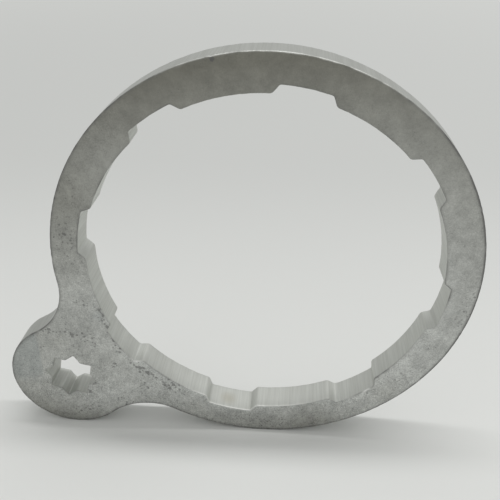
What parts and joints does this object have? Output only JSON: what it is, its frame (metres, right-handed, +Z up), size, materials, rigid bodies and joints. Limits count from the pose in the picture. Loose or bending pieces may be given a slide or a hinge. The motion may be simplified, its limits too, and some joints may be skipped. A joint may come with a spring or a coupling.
{
  "type": "filter wrench",
  "caption": "Flat metal ring wrench for a filter housing cap, its round mouth notched with pockets, and an ear beside it with a star-shaped socket for a square drive.",
  "frame": {"origin": "centre of the round mouth at mid-thickness of the plate", "axes": "+Y along the mouth's axis from front to back; +Z up as the wrench stands on ring and ear; the ear lies towards -X and down"},
  "size_m": [0.157, 0.01, 0.135],
  "materials": {
    "aluminium": "bare cut plate, satin, lightly stained and pitted"
  },
  "bodies": {
    "root": {"filter_wrench": "aluminium"}
  },
  "joints": []
}
